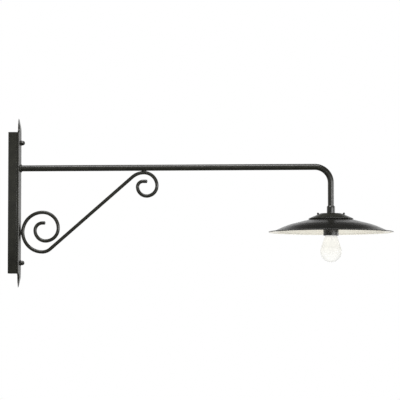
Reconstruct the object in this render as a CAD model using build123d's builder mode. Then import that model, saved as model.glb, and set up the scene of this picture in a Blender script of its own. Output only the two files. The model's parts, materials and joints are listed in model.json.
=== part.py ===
"""Outdoor wall lamp: a lance-ended wall plate, a long tube arm on a scroll brace, and a wide enamel shade.

Millimetres. X runs out from the wall, Z is up, and the origin is on the wall at the middle of the wall box.
"""
import os
from math import atan2, cos, radians, sin, tan

from build123d import *

# Wall box and the strap inside it
box_height = 400.0
box_width = 42.0
box_depth = 26.0
box_sheet = 1.5
box_fold = 2.2
strap_end = 15.0
strap_width = 24.0
strap_thickness = 3.0
wall_hole_spacing = 260.0
wall_hole_diameter = 6.5
window_length = 96.0
window_width = 12.0
window_height = -40.0

# Front plate, a forged bar with a ridge down the middle
plate_length = 480.0
plate_width = 46.0
plate_edge = 5.0
plate_ridge = 8.0
shoulder_length = 12.0
lance_length = 28.0
lance_bulge = 3.0
neck_width = 26.0
shoulder_hollow = 2.0
tip_thickness = 1.6

# Studs, washers and domed nuts that hold the box and plate to the strap
stud_spacing = 340.0
stud_diameter = 8.0
stud_in_nut = 6.5
stud_clearance = 0.5
washer_diameter = 16.0
washer_thickness = 1.6
nut_across_flats = 13.0
nut_hex_height = 4.5
nut_height = 10.0

# Arm tube
arm_height = 98.0
lamp_reach = 910.0
tube_diameter = 17.2
tube_wall = 2.0
bend_radius = 45.0
tube_behind_wall = 2.5
tube_end = -22.0
tube_fit = 0.1
weld_leg = 3.0
weld_root = 2.0

# Scroll brace, one round bar from volute to volute
bar_diameter = 10.0
brace_angle = 41.0
brace_bottom = -139.0
foot_bend = 34.0
head_bend = 50.0
wall_volute = ((56.0, 180.0), (45.0, 90.0), (36.0, 90.0), (30.0, 90.0), (21.0, 90.0))
wall_volute_tail = 9.0
arm_volute = ((37.0, 90.0), (29.0, 90.0), (26.0, 90.0), (15.5, 90.0))
arm_volute_tail = 13.0
weld_gap = 0.3
bead_length = 22.0
bead_height = 9.0
bead_width = 7.0

# Collar, nipple and its nut
collar_diameter = 23.0
collar_top = -12.0
collar_bottom = -33.0
collar_chamfer = 2.5
collar_bevel = 1.5
nipple_diameter = 10.0
nipple_bore = 7.0
nipple_top = -23.0
nipple_bottom = -41.5
nipple_nut_flats = 14.0
nipple_nut_height = 3.0
thread_fit = 0.1

# Cap, gasket and shade
cap_flat_radius = 30.0
cap_radius = 62.5
cap_drop = 14.0
cap_sheet = 1.2
cap_lip_gap = 0.3
gasket_thickness = 1.0
gasket_inner_radius = 26.0
gasket_margin = 3.0
shade_radius = 175.0
shade_sheet = 1.0
shade_opening_radius = 24.0
shade_shoulder_inset = 63.0
shade_shoulder_drop = 15.0
shade_brim_inset = 25.0
shade_brim_drop = 30.0
shade_rim_drop = 36.2
shoulder_curve = 110.0
brim_curve = 70.0
crown_curve = 4.0
rim_bead = 2.6

# Screws that hold the shade to the cap
screw_count = 4
screw_circle_radius = 35.5
screw_diameter = 3.8
screw_head_diameter = 6.0
screw_head_height = 2.0
screw_tail = 1.0
screw_fit = 0.2
drill_length = 5.0
shade_nut_flats = 7.0
shade_nut_height = 3.0

# Lampholder
holder_diameter = 43.0
holder_wall = 1.8
holder_bottom = -95.0
holder_neck_diameter = 18.0
holder_neck_height = 4.0
holder_dome_height = 13.0
holder_roof = 1.5
core_top = -53.0
core_thickness = 7.0
core_fit = 0.2
core_skirt_height = 10.0
core_skirt_wall = 2.4
shell_bore = 26.8
shell_sheet = 0.5
shell_length = 24.0
shell_seat_radius = 9.0
contact_radius = 4.0
contact_thickness = 1.3
post_offset = 7.0
post_diameter = 6.0
post_height = 4.0

# Bulb
bulb_bottom = -169.5
bulb_diameter = 60.0
bulb_wall = 1.0
bulb_tangent = 20.0
bulb_neck_diameter = 28.0
bulb_cap_diameter = 26.0
bulb_cap_sheet = 0.6
bulb_cap_height = 18.0
bulb_cap_shoulder = 2.5
bulb_contact_gap = 0.3
foot_diameter = 9.0
foot_height = 1.6
insulator_height = 3.8
insulator_diameter = 21.0
cement_gap = 0.2
glass_in_cap = 8.0

# Wires and terminals
wire_diameter = 2.2
wire_spacing = 3.0
wire_clearance = 0.2
wire_plane = 9.0
wire_bend = 12.0
wire_gather = 18.0
earth_bend = 4.4
post_bend = 2.5
block_width = 26.0
block_height = 17.0
block_depth = 12.0
block_bottom = 30.0
pole_spacing = 8.0
clamp_diameter = 5.0
clamp_length = 15.0
clamp_screw_diameter = 3.0
clamp_screw_spacing = 8.0
clamp_screw_proud = 0.6
block_screw_diameter = 3.0
block_screw_head = 5.4
block_screw_head_height = 2.0
fit = 0.1
earth_height = 76.0
earth_stud_diameter = 4.0
earth_stud_length = 9.0
tag_diameter = 9.0
tag_thickness = 0.8
tag_tail = 12.0
tag_width = 5.0
earth_nut_flats = 7.0
earth_nut_height = 3.2
grommet_flange = 1.5
grommet_flange_diameter = 15.6
grommet_sleeve = 6.0
grommet_bore = 9.0

# Places worked out from the sizes
strap_length = stud_spacing + 2 * strap_end
tube_radius = tube_diameter / 2
bar_radius = bar_diameter / 2
ridge_face = box_depth + plate_ridge
plate_slope = (plate_ridge - plate_edge) / (plate_width / 2)
washer_seat = ridge_face - plate_slope * washer_diameter / 2
nut_seat = washer_seat + washer_thickness
tube_start = box_depth - box_sheet - tube_behind_wall
stud_heights = (-stud_spacing / 2, stud_spacing / 2)
lamp_axis = Axis((lamp_reach, 0, 0), (0, 0, 1))
lamp_plane = Plane(origin=(lamp_reach, 0, 0), x_dir=(1, 0, 0), z_dir=(0, -1, 0))
cap_top = collar_bottom
cap_slope = atan2(cap_drop, cap_radius - cap_flat_radius)
shade_shoulder_radius = shade_radius - shade_shoulder_inset
shade_brim_radius = shade_radius - shade_brim_inset
nipple_nut_top = cap_top - cap_sheet
holder_top = nipple_nut_top - nipple_nut_height
core_bottom = core_top - core_thickness
contact_face = core_bottom - contact_thickness
foot_top = contact_face - bulb_contact_gap
insulator_top = foot_top - foot_height
bulb_cap_top = insulator_top - insulator_height
bulb_cap_bottom = bulb_cap_top - bulb_cap_height
block_front = strap_thickness + block_depth
block_middle = block_bottom + block_height / 2
poles = (-pole_spacing, 0.0, pole_spacing)


def crown_corner(depth):
    """Where the flat of the crown turns into its cone, on the surface that lies depth under the cap."""
    return cap_flat_radius - depth * tan(cap_slope / 2), cap_top - depth


def crown_point(radius, depth):
    """A point on the crown's cone, on the surface that lies depth under the cap."""
    fall = (radius - cap_flat_radius) * tan(cap_slope)
    return radius, cap_top - fall - depth / cos(cap_slope)


def shade_face(radius):
    """Height of the shade's upper face between the crown and the shoulder."""
    slope = shade_shoulder_drop / (shade_shoulder_radius - crown_foot[0])
    return crown_foot[1] - (radius - crown_foot[0]) * slope + shade_sheet / 2


def screw_planes(depth):
    """The seats of the shade's screws, square to the crown's cone and depth under the cap's face."""
    radius, height = crown_point(screw_circle_radius, 0)
    planes = []
    for number in range(screw_count):
        turn = radians(360 / screw_count * number)
        normal = Vector(sin(cap_slope) * cos(turn), sin(cap_slope) * sin(turn), cos(cap_slope))
        seat = Vector(lamp_reach + radius * cos(turn), radius * sin(turn), height)
        planes.append(Plane(origin=seat - normal * depth, z_dir=normal))
    return planes


crown_depth = cap_sheet + gasket_thickness
shade_middle = crown_depth + shade_sheet / 2
crown_foot = crown_point(cap_radius - cap_sheet - gasket_margin / 2, shade_middle)

# Strap that is screwed to the wall, with a window for the supply wires
with BuildPart() as wall_strap:
    with BuildSketch(Plane.YZ):
        Rectangle(strap_width, strap_length)
        with Locations((0, -wall_hole_spacing / 2), (0, wall_hole_spacing / 2)):
            Circle(wall_hole_diameter / 2, mode=Mode.SUBTRACT)
        with Locations(*[(0, height) for height in stud_heights]):
            Circle(stud_diameter / 2 + fit, mode=Mode.SUBTRACT)
        with Locations((0, window_height)):
            SlotOverall(window_length, window_width, rotation=90, mode=Mode.SUBTRACT)
        with Locations((pole_spacing / 2, block_middle)):
            Circle(block_screw_diameter / 2 + fit, mode=Mode.SUBTRACT)
    extrude(amount=strap_thickness)

# Two threaded studs that stand on the strap
with BuildPart() as mounting_studs:
    with BuildSketch(Plane.YZ):
        with Locations(*[(0, height) for height in stud_heights]):
            Circle(stud_diameter / 2)
    extrude(amount=nut_seat + stud_in_nut)

# Folded wall box, open to the wall
with BuildPart() as wall_box:
    with BuildSketch(Plane.YZ):
        Rectangle(box_width, box_height)
    extrude(amount=box_depth)
    fillet(wall_box.faces().sort_by(Axis.X)[-1].edges(), box_fold)
    offset(amount=-box_sheet, openings=wall_box.faces().sort_by(Axis.X)[0])
    with BuildSketch(Plane.YZ.offset(box_depth)):
        with Locations(*[(0, height) for height in stud_heights]):
            Circle(stud_diameter / 2 + stud_clearance)
        with Locations((0, arm_height)):
            Circle(tube_radius + tube_fit)
    extrude(amount=-box_depth, mode=Mode.SUBTRACT)

# Forged front plate: lance ends, a ridge down the middle and tapering points
with BuildPart() as front_plate:
    with BuildSketch(Plane.YZ.offset(box_depth)):
        with BuildLine():
            tip = plate_length / 2
            neck = tip - lance_length
            shoulder = neck - shoulder_length
            side = Line((plate_width / 2, 0), (plate_width / 2, shoulder))
            scoop = SagittaArc(side @ 1, (neck_width / 2, neck), shoulder_hollow)
            leaf = SagittaArc(scoop @ 1, (0, tip), -lance_bulge)
            Polyline(leaf @ 1, (0, 0), side @ 0)
        make_face()
        mirror(about=Plane.YZ)
        mirror(about=Plane.XZ)
    extrude(amount=plate_ridge)
    with BuildSketch(Plane.XY.offset(-tip)):
        with BuildLine():
            back = Line((box_depth, -plate_width / 2), (box_depth, plate_width / 2))
            far_edge = Line(back @ 1, (box_depth + plate_edge, plate_width / 2))
            near_edge = Line(back @ 0, (box_depth + plate_edge, -plate_width / 2))
            Polyline(far_edge @ 1, (ridge_face, 0), near_edge @ 1)
        make_face()
    extrude(amount=plate_length, mode=Mode.INTERSECT)
    with BuildSketch(Plane.XZ):
        with BuildLine():
            rear = Line((box_depth, -tip), (box_depth, tip))
            top_point = Line(rear @ 1, (box_depth + tip_thickness, tip))
            bottom_point = Line(rear @ 0, (box_depth + tip_thickness, -tip))
            Polyline(top_point @ 1, (ridge_face, shoulder), (ridge_face, -shoulder), bottom_point @ 1)
        make_face()
    extrude(amount=plate_width, both=True, mode=Mode.INTERSECT)
    with BuildSketch(Plane.YZ.offset(washer_seat)):
        with Locations(*[(0, height) for height in stud_heights]):
            Circle(washer_diameter / 2 + stud_clearance)
    extrude(amount=plate_ridge, mode=Mode.SUBTRACT)
    with BuildSketch(Plane.YZ.offset(box_depth)):
        with Locations(*[(0, height) for height in stud_heights]):
            Circle(stud_diameter / 2 + stud_clearance)
        with Locations((0, arm_height)):
            Circle(tube_radius + tube_fit)
    extrude(amount=plate_ridge, mode=Mode.SUBTRACT)

# Washers on flats that are cut into the plate's ridge
with BuildPart() as sealing_washers:
    with BuildSketch(Plane.YZ.offset(washer_seat)):
        with Locations(*[(0, height) for height in stud_heights]):
            Circle(washer_diameter / 2)
            Circle(stud_diameter / 2 + stud_clearance, mode=Mode.SUBTRACT)
    extrude(amount=washer_thickness)

# Domed nuts: a hexagon with half a ball on it, bored blind for the stud
with BuildPart() as dome_nuts:
    dome_radius = nut_across_flats / 2 - fit
    with BuildSketch(Plane.YZ.offset(nut_seat)):
        with Locations(*[(0, height) for height in stud_heights]):
            RegularPolygon(nut_across_flats / 2, 6, major_radius=False)
    extrude(amount=nut_hex_height)
    with Locations(*[(nut_seat + nut_height - dome_radius / 2, 0, height) for height in stud_heights]):
        Sphere(dome_radius, arc_size1=0, rotation=(0, 90, 0))
    with BuildSketch(Plane.YZ.offset(nut_seat)):
        with Locations(*[(0, height) for height in stud_heights]):
            Circle(stud_diameter / 2 + fit)
    extrude(amount=stud_in_nut + fit, mode=Mode.SUBTRACT)

# Arm: one tube, bent down over the lamp
with BuildPart() as arm_tube:
    with BuildLine(Plane.XZ) as arm_path:
        FilletPolyline(
            (tube_start, arm_height),
            (lamp_reach, arm_height),
            (lamp_reach, tube_end),
            radius=bend_radius,
        )
    with BuildSketch(Plane.YZ.offset(tube_start)):
        with Locations((0, arm_height)):
            Circle(tube_radius)
            Circle(tube_radius - tube_wall, mode=Mode.SUBTRACT)
    sweep(path=arm_path.wires()[0])

# Fillet of weld round the arm where it leaves the plate
with BuildPart() as arm_weld:
    with BuildSketch(Plane.XZ):
        with BuildLine():
            Polyline(
                (ridge_face - weld_root, arm_height + tube_radius + tube_fit),
                (ridge_face - weld_root, arm_height + tube_radius + weld_leg),
                (ridge_face, arm_height + tube_radius + weld_leg),
                (ridge_face + weld_leg, arm_height + tube_radius + tube_fit),
                close=True,
            )
        make_face()
    revolve(axis=Axis((0, 0, arm_height), (1, 0, 0)))
    add(front_plate.part, mode=Mode.SUBTRACT)

# Scroll brace: a straight stay between two volutes, each a chain of tangent arcs of falling radius
brace_left = ridge_face + weld_gap + bar_radius
brace_foot = brace_left + wall_volute[0][0]
brace_top = arm_height - tube_radius - weld_gap - bar_radius
bend_rise = (foot_bend + head_bend) * (1 - cos(radians(brace_angle)))
stay_length = (brace_top - brace_bottom - bend_rise) / sin(radians(brace_angle))
with BuildPart() as scroll_brace:
    with BuildLine(Plane.XZ) as brace_path:
        foot = JernArc((brace_foot, brace_bottom), (1, 0), foot_bend, brace_angle)
        stay = Line(foot @ 1, foot @ 1 + (foot % 1) * stay_length)
        head = JernArc(stay @ 1, stay % 1, head_bend, -brace_angle)
        place, heading = head @ 1, head % 1
        weld_place = place
        for radius, turn in arm_volute:
            curl = JernArc(place, heading, radius, -turn)
            place, heading = curl @ 1, curl % 1
        Line(place, place + heading * arm_volute_tail)
        place, heading = foot @ 0, (foot % 0) * -1
        for radius, turn in wall_volute:
            curl = JernArc(place, heading, radius, -turn)
            place, heading = curl @ 1, curl % 1
        Line(place, place + heading * wall_volute_tail)
    brace_wire = brace_path.wires()[0]
    with BuildSketch(Plane(origin=brace_wire @ 0, z_dir=brace_wire % 0)):
        Circle(bar_radius)
    sweep(path=brace_wire)
print(f"stay {stay_length:.1f} mm, brace wire {brace_wire.length:.1f} mm, meets arm at {weld_place.X:.1f}")

# Weld beads where the brace meets the plate and the arm
with BuildPart() as scroll_welds:
    with BuildSketch(Plane.XZ):
        with Locations((ridge_face, brace_bottom + wall_volute[0][0])):
            Ellipse(bead_height / 2, bead_length / 2)
        with Locations((weld_place.X, arm_height - tube_radius)):
            Ellipse(bead_length / 2, bead_height / 2)
    extrude(amount=bead_width / 2, both=True)
    add(front_plate.part, mode=Mode.SUBTRACT)
    add(arm_tube.part, mode=Mode.SUBTRACT)
    add(scroll_brace.part, mode=Mode.SUBTRACT)
    with BuildSketch(Plane.XZ):
        with Locations((weld_place.X, arm_height)):
            Rectangle(bead_length + tube_diameter, tube_diameter - tube_wall)
    extrude(amount=bead_width, both=True, mode=Mode.SUBTRACT)

# Turned collar: the tube goes in from above and the nipple screws in from below
with BuildPart() as tube_collar:
    with BuildSketch(lamp_plane):
        with BuildLine():
            Polyline(
                (tube_radius + tube_fit, collar_top),
                (collar_diameter / 2 - collar_bevel, collar_top),
                (collar_diameter / 2, collar_top - collar_chamfer),
                (collar_diameter / 2, collar_bottom),
                (nipple_diameter / 2 + thread_fit, collar_bottom),
                (nipple_diameter / 2 + thread_fit, tube_end - tube_fit),
                (tube_radius + tube_fit, tube_end - tube_fit),
                close=True,
            )
        make_face()
    revolve(axis=lamp_axis)

# Hollow nipple that hangs the cap and lampholder under the collar
with BuildPart() as nipple:
    with BuildSketch(lamp_plane):
        with BuildLine():
            Polyline(
                (nipple_bore / 2, nipple_top),
                (nipple_diameter / 2, nipple_top),
                (nipple_diameter / 2, nipple_bottom),
                (nipple_bore / 2, nipple_bottom),
                close=True,
            )
        make_face()
    revolve(axis=lamp_axis)

# Nut that clamps the cap against the collar
with BuildPart() as nipple_nut:
    with BuildSketch(Plane(origin=(lamp_reach, 0, holder_top))):
        RegularPolygon(nipple_nut_flats / 2, 6, major_radius=False)
        Circle(nipple_diameter / 2 + thread_fit, mode=Mode.SUBTRACT)
    extrude(amount=nipple_nut_height)

# Spun cap: a flat top, a low cone and a lip that covers the shade's crown
with BuildPart() as shade_cap:
    edge_radius, edge_height = crown_point(cap_radius, 0)
    lip_bottom = shade_face(cap_radius - cap_sheet) + cap_lip_gap
    with BuildSketch(lamp_plane):
        with BuildLine():
            Polyline(
                (nipple_diameter / 2 + thread_fit, cap_top),
                crown_corner(0),
                (edge_radius, edge_height),
                (edge_radius, lip_bottom),
                (edge_radius - cap_sheet, lip_bottom),
                crown_point(cap_radius - cap_sheet, cap_sheet),
                crown_corner(cap_sheet),
                (nipple_diameter / 2 + thread_fit, cap_top - cap_sheet),
                close=True,
            )
        make_face()
    revolve(axis=lamp_axis)
    with Locations(*screw_planes(0)):
        Cylinder(screw_diameter / 2 + screw_fit, drill_length, mode=Mode.SUBTRACT)

# Seal between cap and shade
with BuildPart() as cap_gasket:
    outer = cap_radius - cap_sheet - gasket_margin
    with BuildSketch(lamp_plane):
        with BuildLine():
            Polyline(
                (gasket_inner_radius, cap_top - cap_sheet),
                crown_corner(cap_sheet),
                crown_point(outer, cap_sheet),
                crown_point(outer, crown_depth),
                crown_corner(crown_depth),
                (gasket_inner_radius, cap_top - crown_depth),
                close=True,
            )
        make_face()
    revolve(axis=lamp_axis)
    with Locations(*screw_planes(cap_sheet)):
        Cylinder(screw_diameter / 2 + screw_fit, drill_length, mode=Mode.SUBTRACT)

# Spun shade: crown, shallow dome, flared brim and a rolled rim
with BuildPart() as shade:
    base = crown_foot[1]
    rim = (shade_radius - rim_bead / 2, base - shade_rim_drop)
    with BuildSketch(lamp_plane):
        with BuildLine():
            FilletPolyline(
                (shade_opening_radius, cap_top - shade_middle),
                crown_corner(shade_middle),
                crown_foot,
                (shade_shoulder_radius, base - shade_shoulder_drop),
                (shade_brim_radius, base - shade_brim_drop),
                rim,
                radius=(crown_curve, crown_curve, shoulder_curve, brim_curve),
            )
        trace(line_width=shade_sheet)
        with Locations(rim):
            Circle(rim_bead / 2)
    revolve(axis=lamp_axis)
    with Locations(*screw_planes(crown_depth)):
        Cylinder(screw_diameter / 2 + screw_fit, drill_length, mode=Mode.SUBTRACT)

# Domed screws through cap, gasket and shade
stack = crown_depth + shade_sheet
nut_corner = shade_nut_flats / 2 / cos(radians(30))
nut_relief = nut_corner**2 * sin(cap_slope) / (2 * screw_circle_radius) + fit
nut_depth = stack + nut_relief
screw_length = nut_depth + shade_nut_height + screw_tail
with BuildPart() as shade_screws:
    with Locations(*screw_planes(screw_length)):
        Cylinder(screw_diameter / 2, screw_length, align=(Align.CENTER, Align.CENTER, Align.MIN))
    with Locations(*screw_planes(0)):
        Cylinder(
            screw_head_diameter / 2,
            screw_head_height,
            align=(Align.CENTER, Align.CENTER, Align.MIN),
        )
    with Locations(*screw_planes(-screw_head_height)):
        Sphere(screw_head_diameter / 2, arc_size1=0)

# Nuts on those screws, inside the shade
with BuildPart() as shade_nuts:
    with BuildSketch(*screw_planes(nut_depth + shade_nut_height)):
        RegularPolygon(shade_nut_flats / 2, 6, major_radius=False)
        Circle(screw_diameter / 2 + fit, mode=Mode.SUBTRACT)
    extrude(amount=shade_nut_height)

# Lampholder shell: threaded neck, dome and a long skirt
holder_radius = holder_diameter / 2
skirt_bore = holder_radius - holder_wall
with BuildPart() as lampholder_body:
    dome_foot = holder_top - holder_neck_height - holder_dome_height
    neck_radius = holder_neck_diameter / 2
    neck_bottom = holder_top - holder_neck_height
    roof = neck_bottom - holder_roof
    with BuildSketch(lamp_plane):
        with BuildLine():
            neck_side = Polyline(
                (nipple_diameter / 2 + thread_fit, holder_top),
                (neck_radius, holder_top),
                (neck_radius, neck_bottom),
            )
            EllipticalCenterArc(
                (neck_radius, dome_foot),
                holder_radius - neck_radius,
                holder_dome_height,
                arc_size=90,
            )
            skirt = Polyline(
                (holder_radius, dome_foot),
                (holder_radius, holder_bottom),
                (skirt_bore, holder_bottom),
                (skirt_bore, core_top),
            )
            Polyline(
                skirt @ 1,
                (neck_radius, roof),
                (nipple_diameter / 2 + thread_fit, roof),
                neck_side @ 0,
            )
        make_face()
    revolve(axis=lamp_axis)

# Ceramic core with a skirt round the screw shell
shell_radius = shell_bore / 2
with BuildPart() as lampholder_core:
    skirt_inner = shell_radius + shell_sheet + core_fit
    with BuildSketch(lamp_plane):
        with BuildLine():
            Polyline(
                (0, core_top),
                (skirt_bore - core_fit, core_top),
                (skirt_bore - core_fit, core_bottom),
                (skirt_inner + core_skirt_wall, core_bottom),
                (skirt_inner + core_skirt_wall, core_bottom - core_skirt_height),
                (skirt_inner, core_bottom - core_skirt_height),
                (skirt_inner, core_bottom),
                (0, core_bottom),
                close=True,
            )
        make_face()
    revolve(axis=lamp_axis)

# Brass shell that the bulb screws into
with BuildPart() as screw_shell:
    with BuildSketch(lamp_plane):
        with BuildLine():
            Polyline(
                (shell_seat_radius, core_bottom),
                (shell_radius + shell_sheet, core_bottom),
                (shell_radius + shell_sheet, core_bottom - shell_length),
                (shell_radius, core_bottom - shell_length),
                (shell_radius, core_bottom - shell_sheet),
                (shell_seat_radius, core_bottom - shell_sheet),
                close=True,
            )
        make_face()
    revolve(axis=lamp_axis)

# Centre contact under the core
with BuildPart() as centre_contact:
    with BuildSketch(Plane(origin=(lamp_reach, 0, core_bottom))):
        Circle(contact_radius)
    extrude(amount=-contact_thickness)

# Posts on the core that take the wires
with BuildPart() as lampholder_posts:
    with BuildSketch(Plane(origin=(lamp_reach, 0, core_top))):
        with Locations((0, -post_offset), (0, post_offset)):
            Circle(post_diameter / 2)
            Circle(wire_diameter / 2 + wire_clearance, mode=Mode.SUBTRACT)
    extrude(amount=post_height)

# Bulb: contact button, insulator, screw cap and hollow opal glass
with BuildPart() as bulb_foot:
    with BuildSketch(Plane(origin=(lamp_reach, 0, insulator_top))):
        Circle(foot_diameter / 2)
    extrude(amount=foot_height)

with BuildPart() as bulb_insulator:
    with BuildSketch(lamp_plane):
        with BuildLine():
            Polyline(
                (0, insulator_top),
                (foot_diameter / 2, insulator_top),
                (insulator_diameter / 2, bulb_cap_top),
                (0, bulb_cap_top),
                close=True,
            )
        make_face()
    revolve(axis=lamp_axis)

with BuildPart() as bulb_cap:
    cap_side = bulb_cap_diameter / 2
    with BuildSketch(lamp_plane):
        with BuildLine():
            Polyline(
                (insulator_diameter / 2, bulb_cap_top),
                (cap_side, bulb_cap_top - bulb_cap_shoulder),
                (cap_side, bulb_cap_bottom),
                (cap_side - bulb_cap_sheet, bulb_cap_bottom),
                (cap_side - bulb_cap_sheet, bulb_cap_top - bulb_cap_shoulder),
                (insulator_diameter / 2 - bulb_cap_sheet, bulb_cap_top),
                close=True,
            )
        make_face()
    revolve(axis=lamp_axis)

with BuildPart() as bulb_glass:
    ball = bulb_diameter / 2 - bulb_wall / 2
    ball_height = bulb_bottom + bulb_diameter / 2
    in_cap = bulb_cap_diameter / 2 - bulb_cap_sheet - cement_gap - bulb_wall / 2
    lean = radians(bulb_tangent)
    with BuildSketch(lamp_plane):
        with BuildLine():
            leave = (ball * cos(lean), ball_height + ball * sin(lean))
            crown = CenterArc((0, ball_height), ball, -90, 90 + bulb_tangent)
            neck_top = (bulb_neck_diameter / 2 - bulb_wall / 2, bulb_cap_bottom - bulb_wall)
            flank = TangentArc(leave, neck_top, tangent=(-sin(lean), cos(lean)))
            Polyline(flank @ 1, (in_cap, bulb_cap_bottom - bulb_wall), (in_cap, bulb_cap_bottom + glass_in_cap))
        trace(line_width=bulb_wall)
    revolve(axis=lamp_axis)

# Terminal block on the strap, with clamping tubes and screws
with BuildPart() as terminal_block:
    with BuildSketch(Plane.YZ.offset(strap_thickness)):
        with Locations((0, block_middle)):
            Rectangle(block_width, block_height)
    extrude(amount=block_depth)
    with BuildSketch(Plane.XY.offset(block_bottom)):
        with Locations(*[(wire_plane, pole) for pole in poles]):
            Circle(clamp_diameter / 2 + fit)
    extrude(amount=block_height, mode=Mode.SUBTRACT)
    clamp_screw_heights = (block_middle - clamp_screw_spacing / 2, block_middle + clamp_screw_spacing / 2)
    clamp_screw_places = [(pole, height) for pole in poles for height in clamp_screw_heights]
    with BuildSketch(Plane.YZ.offset(block_front)):
        with Locations(*clamp_screw_places):
            Circle(clamp_screw_diameter / 2 + fit)
    extrude(amount=wire_plane - block_front, mode=Mode.SUBTRACT)
    with BuildSketch(Plane.YZ.offset(block_front)):
        with Locations((pole_spacing / 2, block_middle)):
            Circle(block_screw_diameter / 2 + fit)
    extrude(amount=-block_depth, mode=Mode.SUBTRACT)

with BuildPart() as terminal_tubes:
    with BuildSketch(Plane.XY.offset(block_middle - clamp_length / 2)):
        with Locations(*[(wire_plane, pole) for pole in poles]):
            Circle(clamp_diameter / 2)
            Circle(wire_diameter / 2 + wire_clearance, mode=Mode.SUBTRACT)
    extrude(amount=clamp_length)
    with BuildSketch(Plane.YZ.offset(wire_plane)):
        with Locations(*clamp_screw_places):
            Circle(clamp_screw_diameter / 2 + fit)
    extrude(amount=clamp_diameter, mode=Mode.SUBTRACT)

with BuildPart() as terminal_screws:
    with BuildSketch(Plane.YZ.offset(wire_plane + wire_diameter / 2 + fit)):
        with Locations(*clamp_screw_places):
            Circle(clamp_screw_diameter / 2)
    extrude(amount=block_front + clamp_screw_proud - wire_plane - wire_diameter / 2 - fit)

with BuildPart() as block_screw:
    with BuildSketch(Plane.YZ):
        with Locations((pole_spacing / 2, block_middle)):
            Circle(block_screw_diameter / 2)
    extrude(amount=block_front)
    with BuildSketch(Plane.YZ.offset(block_front)):
        with Locations((pole_spacing / 2, block_middle)):
            Circle(block_screw_head / 2)
    extrude(amount=block_screw_head_height)

# Earth stud, tag and nut on the inside of the box
box_inside = box_depth - box_sheet
with BuildPart() as earth_stud:
    with BuildSketch(Plane.YZ.offset(box_inside)):
        with Locations((pole_spacing, earth_height)):
            Circle(earth_stud_diameter / 2)
    extrude(amount=-earth_stud_length)

with BuildPart() as earth_tag:
    with BuildSketch(Plane.YZ.offset(box_inside)):
        with Locations((pole_spacing, earth_height)):
            Circle(tag_diameter / 2)
        with Locations((pole_spacing, earth_height - tag_tail / 2)):
            Rectangle(tag_width, tag_tail)
        with Locations((pole_spacing, earth_height)):
            Circle(earth_stud_diameter / 2 + fit, mode=Mode.SUBTRACT)
    extrude(amount=-tag_thickness)

with BuildPart() as earth_nut:
    with BuildSketch(Plane.YZ.offset(box_inside - tag_thickness)):
        with Locations((pole_spacing, earth_height)):
            RegularPolygon(earth_nut_flats / 2, 6, major_radius=False)
            Circle(earth_stud_diameter / 2 + fit, mode=Mode.SUBTRACT)
    extrude(amount=-earth_nut_height)

# Rubber grommet in the arm's mouth
with BuildPart() as tube_grommet:
    with BuildSketch(Plane.YZ.offset(tube_start)):
        with Locations((0, arm_height)):
            Circle(grommet_flange_diameter / 2)
            Circle(grommet_bore / 2, mode=Mode.SUBTRACT)
    extrude(amount=-grommet_flange)
    with BuildSketch(Plane.YZ.offset(tube_start)):
        with Locations((0, arm_height)):
            Circle(tube_radius - tube_wall - tube_fit)
            Circle(grommet_bore / 2, mode=Mode.SUBTRACT)
    extrude(amount=grommet_sleeve)


def lamp_wire_points(pole, side):
    """The route of a wire from its pole, through the arm and nipple, to its post on the lampholder."""
    lane = side * wire_spacing / 2
    post = side * post_offset
    gather = block_bottom + block_height + wire_bend
    return [
        (wire_plane, pole, block_middle),
        (wire_plane, pole, gather),
        (wire_plane, lane, gather + wire_gather),
        (wire_plane, lane, arm_height),
        (lamp_reach, lane, arm_height),
        (lamp_reach, lane, nipple_bottom - wire_diameter / 2),
        (lamp_reach, post, core_top + post_height + wire_diameter),
        (lamp_reach, post, core_top + wire_diameter / 2),
    ]


mouth_bend = tube_start - wire_plane
lamp_wire_bends = (wire_bend, wire_bend, mouth_bend, bend_radius, post_bend, post_bend)
wire_section = Plane(origin=(wire_plane, 0, block_middle))

# Live and neutral wires, side by side in the arm
with BuildPart() as live_wire:
    with BuildLine() as live_path:
        FilletPolyline(*lamp_wire_points(poles[0], -1), radius=lamp_wire_bends)
    with BuildSketch(wire_section):
        with Locations((0, poles[0])):
            Circle(wire_diameter / 2)
    sweep(path=live_path.wires()[0])

with BuildPart() as neutral_wire:
    with BuildLine() as neutral_path:
        FilletPolyline(*lamp_wire_points(poles[1], 1), radius=lamp_wire_bends)
    with BuildSketch(wire_section):
        with Locations((0, poles[1])):
            Circle(wire_diameter / 2)
    sweep(path=neutral_path.wires()[0])

# Earth wire, from its pole to the tag
with BuildPart() as earth_wire:
    tag_face = box_inside - tag_thickness - wire_diameter / 2
    tag_end = earth_height - tag_tail
    with BuildLine() as earth_path:
        FilletPolyline(
            (wire_plane, poles[2], block_middle),
            (wire_plane, poles[2], block_bottom + block_height + wire_diameter),
            (tag_face, poles[2], tag_end - wire_diameter),
            (tag_face, poles[2], tag_end + tag_tail / 2 - wire_diameter),
            radius=earth_bend,
        )
    with BuildSketch(wire_section):
        with Locations((0, poles[2])):
            Circle(wire_diameter / 2)
    sweep(path=earth_path.wires()[0])

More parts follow.
